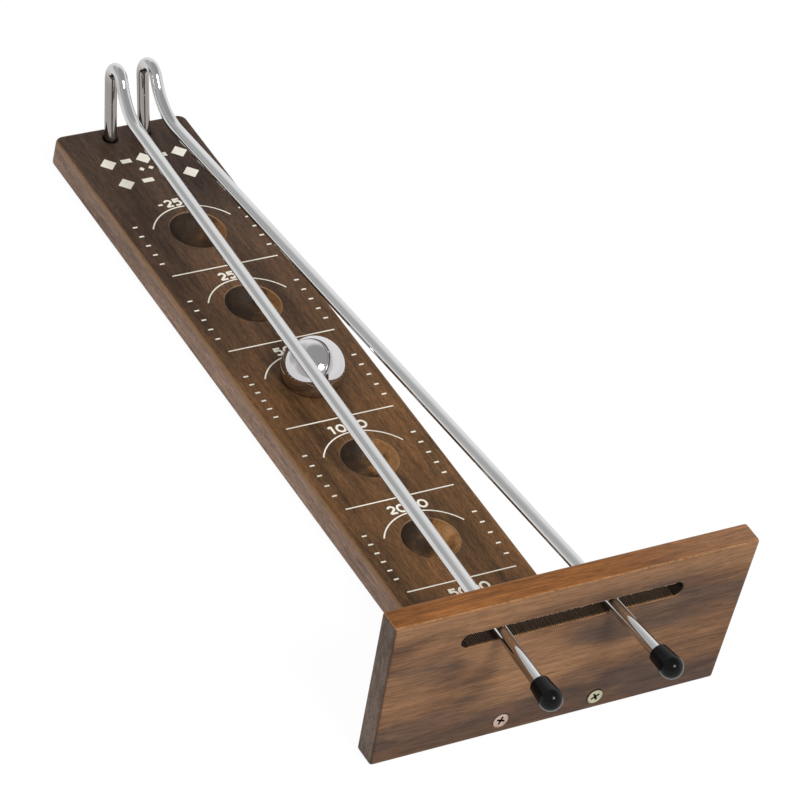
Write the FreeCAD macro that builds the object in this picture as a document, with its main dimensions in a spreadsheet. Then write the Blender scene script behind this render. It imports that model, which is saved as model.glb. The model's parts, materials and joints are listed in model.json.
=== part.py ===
# Tabletop ball and rods skill game: a long board with scoring pockets, an upright slotted front panel,
# two bent steel rods that swing on pivot pins, soft end caps and a loose steel ball.
# Millimetres, +Z up. The origin is the centre of the board's underside, on the table.
# The player sits at -Y, where the panel stands. +X is to the player's right.

import FreeCAD, Part
import math
import os

import Sketcher

V = FreeCAD.Vector

DIMENSIONS = [
    # base board
    ("board_width", 63.5),
    ("board_length", 363.0),
    ("board_thick", 13.0),
    ("board_corner", 4.0),
    ("board_edge", 1.8),
    # scoring pockets, cut with a round-nosed cutter
    ("pocket_cutter", 12.7),
    ("pocket_depth", 9.5),
    ("pocket_lip", 0.5),
    ("pocket_rear_gap", 75.0),
    ("pocket_pitch", 50.8),
    # pivot holes for the rods
    ("pivot_half", 8.1),
    ("pivot_rear_gap", 7.9),
    ("pivot_bore", 5.5),
    ("pivot_mouth", 6.8),
    ("pivot_bore_depth", 9.0),
    ("pivot_mouth_depth", 1.3),
    # front panel
    ("panel_top_width", 164.2),
    ("panel_low_width", 157.0),
    ("panel_height", 72.3),
    ("panel_thick", 10.8),
    ("panel_edge", 1.5),
    ("slot_length", 100.0),
    ("slot_height", 7.0),
    ("slot_level", 56.1),
    ("slot_edge", 0.5),
    # screws that hold the panel on the board's end
    ("screw_half", 21.5),
    ("screw_level", 6.9),
    ("screw_head", 6.8),
    ("screw_sink", 7.5),
    ("screw_shank", 3.4),
    ("screw_hole", 3.6),
    ("screw_pilot", 3.44),
    ("screw_length", 28.0),
    ("screw_cross", 3.9),
    ("screw_blade", 1.0),
    ("screw_cross_depth", 1.5),
    ("screw_left_proud", 0.05),
    ("screw_right_proud", 0.35),
    # rods, as seen from the side: pin, leaning leg, hook over the top, long rising run
    ("rod_diameter", 5.4),
    ("rod_pin_end", 4.5),
    ("rod_bend_start", 12.2),
    ("rod_foot_radius", 8.0),
    ("rod_leg_lean", 19.5),
    ("rod_hook_radius", 5.9),
    ("rod_hook_top", 46.5),
    ("rod_fall", 50.0),
    ("rod_knee_radius", 25.5),
    ("rod_left_run_base", 32.8),
    ("rod_right_run_base", 30.7),
    ("rod_reach", 408.0),
    ("rod_end_chamfer", 0.5),
    ("rod_left_swing", 3.77),
    ("rod_right_swing", 1.56),
    # soft caps on the rod ends
    ("cap_diameter", 9.6),
    ("cap_mouth", 8.2),
    ("cap_bore", 5.44),
    ("cap_left_start", 397.4),
    ("cap_right_start", 396.5),
    ("cap_length", 13.8),
    ("cap_lip", 0.5),
    # ball
    ("ball_diameter", 27.0),
    ("ball_gap", 0.2),
]
POCKET_COUNT = 6
BALL_POCKET = 2

doc = FreeCAD.newDocument("rod_game")
sheet = doc.addObject("Spreadsheet::Sheet", "dims")
for row, (alias, value) in enumerate(DIMENSIONS, start=1):
    sheet.set("A%d" % row, alias)
    sheet.set("B%d" % row, str(value))
    sheet.setAlias("B%d" % row, alias)
doc.recompute()


def dim(alias):
    """Value of one driving dimension, in millimetres or degrees."""
    return float(sheet.get(alias))


def origin_feature(body, role):
    """A body's own origin plane or axis."""
    for feature in body.Origin.OriginFeatures:
        if feature.Role == role:
            return feature
    raise ValueError(role)


def new_body(name):
    body = doc.addObject("PartDesign::Body", name + "_body")
    body.Label = name
    return body


def new_sketch(body, name, plane, shift=None, turn=0.0):
    """Sketch on one of the body's origin planes; shift is in the plane's own directions, turn in degrees."""
    sketch = body.newObject("Sketcher::SketchObject", name)
    sketch.AttachmentSupport = [(origin_feature(body, plane), "")]
    sketch.MapMode = "FlatFace"
    sketch.AttachmentOffset = FreeCAD.Placement(shift or V(), FreeCAD.Rotation(V(0, 0, 1), turn))
    return sketch


def bind(sketch, constraint, name, formula):
    """Adds a constraint, names it and ties it to a formula on the sheet."""
    index = sketch.addConstraint(constraint)
    sketch.renameConstraint(index, name)
    sketch.setExpression("Constraints." + name, formula)
    return index


def add_loop(sketch, points):
    """Closed outline of straight lines through the points; returns the first line's index."""
    first = sketch.GeometryCount
    count = len(points)
    for i in range(count):
        start = V(points[i][0], points[i][1], 0)
        end = V(points[(i + 1) % count][0], points[(i + 1) % count][1], 0)
        sketch.addGeometry(Part.LineSegment(start, end), False)
    for i in range(count):
        sketch.addConstraint(Sketcher.Constraint("Coincident", first + i, 2, first + (i + 1) % count, 1))
    return first


def pad(body, name, sketch, formula):
    feature = body.newObject("PartDesign::Pad", name)
    feature.Profile = sketch
    feature.setExpression("Length", formula)
    doc.recompute()
    return feature


def edges_where(shape, test):
    """Names of the shape's edges for which test(edge) is true."""
    return ["Edge%d" % (i + 1) for i, edge in enumerate(shape.Edges) if test(edge)]


def dress(body, kind, name, size_property, formula, test):
    """Fillet or chamfer on the edges of the body's present shape that pass the test."""
    base = body.Tip
    names = edges_where(base.Shape, test)
    if not names:
        raise ValueError("no edges for " + name)
    feature = body.newObject("PartDesign::" + kind, name)
    feature.Base = (base, names)
    feature.setExpression(size_property, formula)
    doc.recompute()
    return feature


def check_cut(body, before, name):
    """A cut that points away from the solid removes nothing, so the volume has to go down."""
    after = body.Shape.Volume
    if after >= before - 0.5:
        raise ValueError(name + " removed nothing")
    return after


def at_height(edge, level):
    return all(abs(v.Z - level) < 1e-4 for v in edge.Vertexes) and abs(edge.BoundBox.ZMin - level) < 1e-4


# ---------------------------------------------------------------- base board
HALF_LENGTH = dim("board_length") / 2
TOP = dim("board_thick")

board = new_body("base_board")
outline = new_sketch(board, "board_outline", "XY_Plane")
half_w = dim("board_width") / 2
add_loop(outline, [(-half_w, -HALF_LENGTH), (half_w, -HALF_LENGTH), (half_w, HALF_LENGTH), (-half_w, HALF_LENGTH)])
outline.addConstraint(Sketcher.Constraint("Horizontal", 0))
outline.addConstraint(Sketcher.Constraint("Vertical", 1))
outline.addConstraint(Sketcher.Constraint("Symmetric", 0, 1, 2, 1, -1, 1))
outline.addConstraint(Sketcher.Constraint("Horizontal", 2))
outline.addConstraint(Sketcher.Constraint("Vertical", 3))
bind(outline, Sketcher.Constraint("DistanceX", 0, 1, 0, 2, 2 * half_w), "width", "dims.board_width")
bind(outline, Sketcher.Constraint("DistanceY", 1, 1, 1, 2, 2 * HALF_LENGTH), "length", "dims.board_length")
pad(board, "board_slab", outline, "dims.board_thick")
dress(board, "Fillet", "board_rear_corners", "Radius", "dims.board_corner",
      lambda e: e.BoundBox.ZLength > 1 and e.CenterOfMass.y > 0)
dress(board, "Fillet", "board_edges", "Radius", "dims.board_edge",
      lambda e: (at_height(e, 0) or at_height(e, TOP)) and e.CenterOfMass.y > 1 - HALF_LENGTH)
volume = board.Shape.Volume

# one dished pocket turned about its upright axis, then repeated along the board
rear_pocket = HALF_LENGTH - dim("pocket_rear_gap")
dish = new_sketch(board, "pocket_profile", "YZ_Plane", V(rear_pocket, TOP, 0))
dish.setExpression("AttachmentOffset.Base.x", "dims.board_length / 2 - dims.pocket_rear_gap")
dish.setExpression("AttachmentOffset.Base.y", "dims.board_thick")
cutter = dim("pocket_cutter")
rise = cutter - dim("pocket_depth")
rim = math.sqrt(cutter ** 2 - rise ** 2)
dish.addGeometry(Part.ArcOfCircle(Part.Circle(V(0, rise, 0), V(0, 0, 1), cutter), -math.pi / 2,
                                  -math.asin(rise / cutter)), False)
dish.addGeometry(Part.LineSegment(V(rim, 0, 0), V(rim, 1, 0)), False)
dish.addGeometry(Part.LineSegment(V(rim, 1, 0), V(0, 1, 0)), False)
dish.addGeometry(Part.LineSegment(V(0, 1, 0), V(0, rise - cutter, 0)), False)
dish.addConstraint(Sketcher.Constraint("Coincident", 0, 2, 1, 1))
dish.addConstraint(Sketcher.Constraint("Coincident", 1, 2, 2, 1))
dish.addConstraint(Sketcher.Constraint("Coincident", 2, 2, 3, 1))
dish.addConstraint(Sketcher.Constraint("Coincident", 3, 2, 0, 1))
dish.addConstraint(Sketcher.Constraint("Vertical", 1))
dish.addConstraint(Sketcher.Constraint("Horizontal", 2))
dish.addConstraint(Sketcher.Constraint("PointOnObject", 3, 1, -2))
dish.addConstraint(Sketcher.Constraint("PointOnObject", 3, 2, -2))
dish.addConstraint(Sketcher.Constraint("PointOnObject", 0, 3, -2))
dish.addConstraint(Sketcher.Constraint("PointOnObject", 0, 2, -1))
bind(dish, Sketcher.Constraint("Radius", 0, cutter), "cutter", "dims.pocket_cutter")
bind(dish, Sketcher.Constraint("DistanceY", -1, 1, 0, 3, rise), "rise", "dims.pocket_cutter - dims.pocket_depth")
bind(dish, Sketcher.Constraint("DistanceY", -1, 1, 2, 2, 1), "clear", "1 mm")
pocket = board.newObject("PartDesign::Groove", "pocket")
pocket.Profile = dish
pocket.ReferenceAxis = (dish, ["V_Axis"])
pocket.Angle = 360
doc.recompute()
volume = check_cut(board, volume, "pocket")
pockets = board.newObject("PartDesign::LinearPattern", "pockets")
pockets.Originals = [pocket]
pockets.Direction = (origin_feature(board, "Y_Axis"), [""])
pockets.Reversed = True
pockets.Occurrences = POCKET_COUNT
pockets.setExpression("Length", "dims.pocket_pitch * %d" % (POCKET_COUNT - 1))
board.Tip = pockets
doc.recompute()
volume = check_cut(board, volume, "pockets")
dress(board, "Fillet", "pocket_lips", "Radius", "dims.pocket_lip",
      lambda e: at_height(e, TOP) and abs(e.BoundBox.XLength - 2 * rim) < 0.5)
volume = board.Shape.Volume

# pivot holes with worn, opened mouths
pivot_y = HALF_LENGTH - dim("pivot_rear_gap")
for side, name in ((-1, "left"), (1, "right")):
    hole = new_sketch(board, name + "_pivot_profile", "YZ_Plane",
                      V(pivot_y, TOP, side * dim("pivot_half")))
    hole.setExpression("AttachmentOffset.Base.x", "dims.board_length / 2 - dims.pivot_rear_gap")
    hole.setExpression("AttachmentOffset.Base.y", "dims.board_thick")
    hole.setExpression("AttachmentOffset.Base.z", "%d * dims.pivot_half" % side)
    bore = dim("pivot_bore") / 2
    mouth = dim("pivot_mouth") / 2
    deep = -dim("pivot_bore_depth")
    add_loop(hole, [(0, deep), (bore, deep), (bore, -dim("pivot_mouth_depth")), (mouth, 0), (mouth, 1), (0, 1)])
    hole.addConstraint(Sketcher.Constraint("Horizontal", 0))
    hole.addConstraint(Sketcher.Constraint("Vertical", 1))
    hole.addConstraint(Sketcher.Constraint("Vertical", 3))
    hole.addConstraint(Sketcher.Constraint("Horizontal", 4))
    hole.addConstraint(Sketcher.Constraint("PointOnObject", 0, 1, -2))
    hole.addConstraint(Sketcher.Constraint("PointOnObject", 4, 2, -2))
    hole.addConstraint(Sketcher.Constraint("PointOnObject", 3, 1, -1))
    bind(hole, Sketcher.Constraint("DistanceX", -1, 1, 1, 1, bore), "bore", "dims.pivot_bore / 2")
    bind(hole, Sketcher.Constraint("DistanceX", -1, 1, 3, 1, mouth), "mouth", "dims.pivot_mouth / 2")
    bind(hole, Sketcher.Constraint("DistanceY", 0, 2, -1, 1, -deep), "deep", "dims.pivot_bore_depth")
    bind(hole, Sketcher.Constraint("DistanceY", 1, 2, -1, 1, dim("pivot_mouth_depth")), "flare",
         "dims.pivot_mouth_depth")
    bind(hole, Sketcher.Constraint("DistanceY", -1, 1, 3, 2, 1), "clear", "1 mm")
    pivot = board.newObject("PartDesign::Groove", name + "_pivot_hole")
    pivot.Profile = hole
    pivot.ReferenceAxis = (hole, ["V_Axis"])
    pivot.Angle = 360
    doc.recompute()
    volume = check_cut(board, volume, name + " pivot hole")

# pilot holes for the screws, in the board's front end
pilots = new_sketch(board, "pilot_centres", "XZ_Plane", V(0, 0, HALF_LENGTH))
pilots.setExpression("AttachmentOffset.Base.z", "dims.board_length / 2")
for side, name in ((-1, "left"), (1, "right")):
    circle = pilots.addGeometry(Part.Circle(V(side * dim("screw_half"), dim("screw_level"), 0), V(0, 0, 1),
                                            dim("screw_pilot") / 2), False)
    across = (-1, 1, circle, 3) if side > 0 else (circle, 3, -1, 1)
    bind(pilots, Sketcher.Constraint("DistanceX", *across, dim("screw_half")), name + "_across", "dims.screw_half")
    bind(pilots, Sketcher.Constraint("DistanceY", -1, 1, circle, 3, dim("screw_level")), name + "_level",
         "dims.screw_level")
    bind(pilots, Sketcher.Constraint("Radius", circle, dim("screw_pilot") / 2), name + "_size",
         "dims.screw_pilot / 2")
drilled = board.newObject("PartDesign::Pocket", "pilot_holes")
drilled.Profile = pilots
drilled.setExpression("Length", "dims.screw_length - dims.panel_thick + 1")
doc.recompute()
volume = check_cut(board, volume, "pilot holes")

# --------------------------------------------------------------- front panel
panel = new_body("front_panel")
front = new_sketch(panel, "panel_outline", "XZ_Plane", V(0, 0, HALF_LENGTH))
front.setExpression("AttachmentOffset.Base.z", "dims.board_length / 2")
half_top = dim("panel_top_width") / 2
half_low = dim("panel_low_width") / 2
tall = dim("panel_height")
add_loop(front, [(-half_low, 0), (half_low, 0), (half_top, tall), (-half_top, tall)])
front.addConstraint(Sketcher.Constraint("PointOnObject", 0, 1, -1))
front.addConstraint(Sketcher.Constraint("Symmetric", 0, 1, 0, 2, -2))
front.addConstraint(Sketcher.Constraint("Symmetric", 2, 1, 2, 2, -2))
bind(front, Sketcher.Constraint("DistanceX", 0, 1, 0, 2, 2 * half_low), "low", "dims.panel_low_width")
bind(front, Sketcher.Constraint("DistanceX", 2, 2, 2, 1, 2 * half_top), "top", "dims.panel_top_width")
bind(front, Sketcher.Constraint("DistanceY", -1, 1, 2, 1, tall), "tall", "dims.panel_height")
pad(panel, "panel_slab", front, "dims.panel_thick")
dress(panel, "Fillet", "panel_edges", "Radius", "dims.panel_edge", lambda e: True)
volume = panel.Shape.Volume

slot = new_sketch(panel, "slot_outline", "XZ_Plane", V(0, 0, HALF_LENGTH))
slot.setExpression("AttachmentOffset.Base.z", "dims.board_length / 2")
slot_r = dim("slot_height") / 2
slot_c = dim("slot_length") / 2 - slot_r
level = dim("slot_level")
slot.addGeometry(Part.LineSegment(V(-slot_c, level - slot_r, 0), V(slot_c, level - slot_r, 0)), False)
slot.addGeometry(Part.ArcOfCircle(Part.Circle(V(slot_c, level, 0), V(0, 0, 1), slot_r), -math.pi / 2, math.pi / 2),
                 False)
slot.addGeometry(Part.LineSegment(V(slot_c, level + slot_r, 0), V(-slot_c, level + slot_r, 0)), False)
slot.addGeometry(Part.ArcOfCircle(Part.Circle(V(-slot_c, level, 0), V(0, 0, 1), slot_r), math.pi / 2,
                                  3 * math.pi / 2), False)
for line, arc in ((0, 1), (1, 2), (2, 3), (3, 0)):
    slot.addConstraint(Sketcher.Constraint("Tangent", line, 2, arc, 1))
slot.addConstraint(Sketcher.Constraint("Horizontal", 0))
slot.addConstraint(Sketcher.Constraint("Symmetric", 1, 3, 3, 3, -2))
bind(slot, Sketcher.Constraint("Radius", 1, slot_r), "half_height", "dims.slot_height / 2")
bind(slot, Sketcher.Constraint("DistanceX", 0, 1, 0, 2, 2 * slot_c), "straight",
     "dims.slot_length - dims.slot_height")
bind(slot, Sketcher.Constraint("DistanceY", -1, 1, 1, 3, level), "level", "dims.slot_level")
slot_cut = panel.newObject("PartDesign::Pocket", "slot")
slot_cut.Profile = slot
slot_cut.Type = "ThroughAll"
slot_cut.Midplane = True
doc.recompute()
volume = check_cut(panel, volume, "slot")
face_y = -HALF_LENGTH - dim("panel_thick")


def on_slot_mouth(edge):
    box = edge.BoundBox
    near_front = abs(box.YMin - face_y) < 1e-4 and abs(box.YMax - face_y) < 1e-4
    near_back = abs(box.YMin + HALF_LENGTH) < 1e-4 and abs(box.YMax + HALF_LENGTH) < 1e-4
    inside = abs(box.XMin) < slot_c + slot_r + 0.1 and abs(box.XMax) < slot_c + slot_r + 0.1
    return (near_front or near_back) and inside and level - slot_r - 0.1 < box.ZMin and box.ZMax < level + slot_r + 0.1


dress(panel, "Fillet", "slot_edges", "Radius", "dims.slot_edge", on_slot_mouth)
volume = panel.Shape.Volume

sinks = new_sketch(panel, "screw_centres", "XZ_Plane", V(0, 0, -face_y))
sinks.setExpression("AttachmentOffset.Base.z", "dims.board_length / 2 + dims.panel_thick")
for side, name in ((-1, "left"), (1, "right")):
    circle = sinks.addGeometry(Part.Circle(V(side * dim("screw_half"), dim("screw_level"), 0), V(0, 0, 1),
                                           dim("screw_hole") / 2), False)
    across = (-1, 1, circle, 3) if side > 0 else (circle, 3, -1, 1)
    bind(sinks, Sketcher.Constraint("DistanceX", *across, dim("screw_half")), name + "_across", "dims.screw_half")
    bind(sinks, Sketcher.Constraint("DistanceY", -1, 1, circle, 3, dim("screw_level")), name + "_level",
         "dims.screw_level")
    bind(sinks, Sketcher.Constraint("Radius", circle, dim("screw_hole") / 2), name + "_size",
         "dims.screw_hole / 2")
doc.recompute()
holes = panel.newObject("PartDesign::Hole", "screw_holes")
holes.Profile = sinks
holes.ThreadType = "None"
holes.DepthType = "ThroughAll"
holes.setExpression("Diameter", "dims.screw_hole")
holes.HoleCutType = "Countersink"
holes.HoleCutCustomValues = True
holes.setExpression("HoleCutDiameter", "dims.screw_sink")
holes.HoleCutCountersinkAngle = 82
doc.recompute()
volume = check_cut(panel, volume, "screw holes")

# -------------------------------------------------------------------- screws
HEAD_SLOPE = math.tan(math.radians(41))
for side, name in ((-1, "left"), (1, "right")):
    screw = new_body("panel_screw_" + name)
    turned = new_sketch(screw, name + "_screw_profile", "XY_Plane")
    head = dim("screw_head") / 2
    shank = dim("screw_shank") / 2
    neck = (head - shank) / HEAD_SLOPE + 0.35
    tip = dim("screw_length")
    add_loop(turned, [(0, 0), (head, 0), (head, 0.35), (shank, neck), (shank, tip - 4), (0.3, tip), (0, tip)])
    turned.addConstraint(Sketcher.Constraint("PointOnObject", 0, 2, -1))
    turned.addConstraint(Sketcher.Constraint("Coincident", 0, 1, -1, 1))
    turned.addConstraint(Sketcher.Constraint("Vertical", 1))
    turned.addConstraint(Sketcher.Constraint("Vertical", 3))
    turned.addConstraint(Sketcher.Constraint("Horizontal", 5))
    turned.addConstraint(Sketcher.Constraint("PointOnObject", 5, 2, -2))
    bind(turned, Sketcher.Constraint("DistanceX", 0, 1, 0, 2, head), "head", "dims.screw_head / 2")
    bind(turned, Sketcher.Constraint("DistanceX", -1, 1, 3, 1, shank), "shank", "dims.screw_shank / 2")
    bind(turned, Sketcher.Constraint("DistanceY", -1, 1, 1, 2, 0.35), "band", "0.35 mm")
    bind(turned, Sketcher.Constraint("DistanceY", -1, 1, 2, 2, neck), "neck",
         "(dims.screw_head - dims.screw_shank) / 2 / tan(41 deg) + 0.35")
    bind(turned, Sketcher.Constraint("DistanceY", -1, 1, 3, 2, tip - 4), "straight", "dims.screw_length - 4")
    bind(turned, Sketcher.Constraint("DistanceY", -1, 1, 5, 1, tip), "tip", "dims.screw_length")
    bind(turned, Sketcher.Constraint("DistanceX", -1, 1, 5, 1, 0.3), "point", "0.3 mm")
    solid = screw.newObject("PartDesign::Revolution", name + "_screw_turned")
    solid.Profile = turned
    solid.ReferenceAxis = (turned, ["V_Axis"])
    solid.Angle = 360
    doc.recompute()
    before = screw.Shape.Volume
    cross = new_sketch(screw, name + "_screw_cross", "XZ_Plane")
    arm = dim("screw_cross") / 2
    blade = dim("screw_blade") / 2
    corners = [(arm, blade), (blade, blade), (blade, arm), (-blade, arm), (-blade, blade), (-arm, blade),
               (-arm, -blade), (-blade, -blade), (-blade, -arm), (blade, -arm), (blade, -blade), (arm, -blade)]
    add_loop(cross, corners)
    for i in range(12):
        cross.addConstraint(Sketcher.Constraint("Horizontal" if i % 2 == 0 else "Vertical", i))
    cross.addConstraint(Sketcher.Constraint("Symmetric", 0, 1, 6, 1, -1, 1))
    cross.addConstraint(Sketcher.Constraint("Symmetric", 3, 1, 9, 1, -1, 1))
    cross.addConstraint(Sketcher.Constraint("Equal", 2, 11))
    cross.addConstraint(Sketcher.Constraint("Equal", 0, 1))
    bind(cross, Sketcher.Constraint("DistanceX", 6, 1, 0, 1, 2 * arm), "arms", "dims.screw_cross")
    bind(cross, Sketcher.Constraint("DistanceY", 11, 1, 0, 1, 2 * blade), "blade", "dims.screw_blade")
    recess = screw.newObject("PartDesign::Pocket", name + "_screw_recess")
    recess.Profile = cross
    recess.Midplane = True
    recess.setExpression("Length", "2 * dims.screw_cross_depth")
    doc.recompute()
    check_cut(screw, before, name + " screw recess")
    proud = dim("screw_%s_proud" % name)
    screw.Placement = FreeCAD.Placement(V(side * dim("screw_half"), face_y - proud, dim("screw_level")),
                                        FreeCAD.Rotation(V(0, 1, 0), 20 if side < 0 else 62))
    screw.setExpression(".Placement.Base.x", "%d * dims.screw_half" % side)
    screw.setExpression(".Placement.Base.y",
                        "-dims.board_length / 2 - dims.panel_thick - dims.screw_%s_proud" % name)
    screw.setExpression(".Placement.Base.z", "dims.screw_level")

# ------------------------------------------------------------- rods and caps
# Seen from the side, with the leg's axis at x = 0 and the player towards -x, the rod goes: pin straight
# up out of the board, leg leaning away from the player, hook over the top, fall, knee, long rising run.
# The two rods are bent alike, but the right one's run leaves the knee a little lower than the left one's.
def run_slope(name):
    """Rise angle of a rod's run, which crosses the panel's slot at mid height."""
    return math.atan((dim("slot_level") - 0.05 - dim("rod_%s_run_base" % name))
                     / (dim("board_length") + dim("panel_thick") / 2 - dim("pivot_rear_gap")))


def slope_formula(name):
    return ("atan((dims.slot_level - 0.05 - dims.rod_%s_run_base) / "
            "(dims.board_length + dims.panel_thick / 2 - dims.pivot_rear_gap))" % name)


def unit(angle):
    return V(math.cos(angle), math.sin(angle), 0)


def rod_route(name):
    """Corner points and tangent points of a rod's centre line, from the pin's end to the run's end."""
    slope = run_slope(name)
    run_base = dim("rod_%s_run_base" % name)
    lean = math.radians(90 - dim("rod_leg_lean"))
    fall = math.radians(180 + dim("rod_fall"))
    run = math.pi - slope
    foot_r = dim("rod_foot_radius")
    hook_r = dim("rod_hook_radius")
    knee_r = dim("rod_knee_radius")
    foot_c = V(foot_r, dim("rod_bend_start"), 0)
    foot_end = foot_c + unit(lean + math.pi / 2) * foot_r
    left_of_lean = unit(lean + math.pi / 2)
    hook_z = dim("rod_hook_top") - hook_r
    # the hook's centre lies hook_r to the player's side of the leg's line
    base = foot_end + left_of_lean * hook_r
    hook_c = base + unit(lean) * ((hook_z - base.y) / math.sin(lean))
    hook_start = hook_c - left_of_lean * hook_r
    hook_end = hook_c - unit(fall + math.pi / 2) * hook_r
    # the knee joins the falling line to the run's line
    run_d = unit(run)
    run_p = V(0, run_base, 0)
    fall_d = unit(fall)
    gap = run_p - hook_end
    along = (gap.x * run_d.y - gap.y * run_d.x) / (fall_d.x * run_d.y - fall_d.y * run_d.x)
    corner = hook_end + fall_d * along
    turn = fall - run
    cut = knee_r * math.tan(turn / 2)
    knee_start = corner - fall_d * cut
    knee_end = corner + run_d * cut
    knee_c = knee_start - unit(fall + math.pi / 2) * knee_r
    reach = dim("rod_reach")
    end = V(-reach, run_base + reach * math.tan(slope), 0)
    return {"lean": lean, "fall": fall, "run": run, "foot_c": foot_c, "foot_end": foot_end, "hook_c": hook_c,
            "hook_start": hook_start, "hook_end": hook_end, "knee_c": knee_c, "knee_start": knee_start,
            "knee_end": knee_end, "end": end}


def arc_between(centre, start, end, clockwise):
    """Arc of a circle from start to end, stored anticlockwise as sketches do."""
    a = math.atan2(start.y - centre.y, start.x - centre.x)
    b = math.atan2(end.y - centre.y, end.x - centre.x)
    if clockwise:
        a, b = b, a
    if b < a:
        b += 2 * math.pi
    return Part.ArcOfCircle(Part.Circle(centre, V(0, 0, 1), start.distanceToPoint(centre)), a, b)


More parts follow.
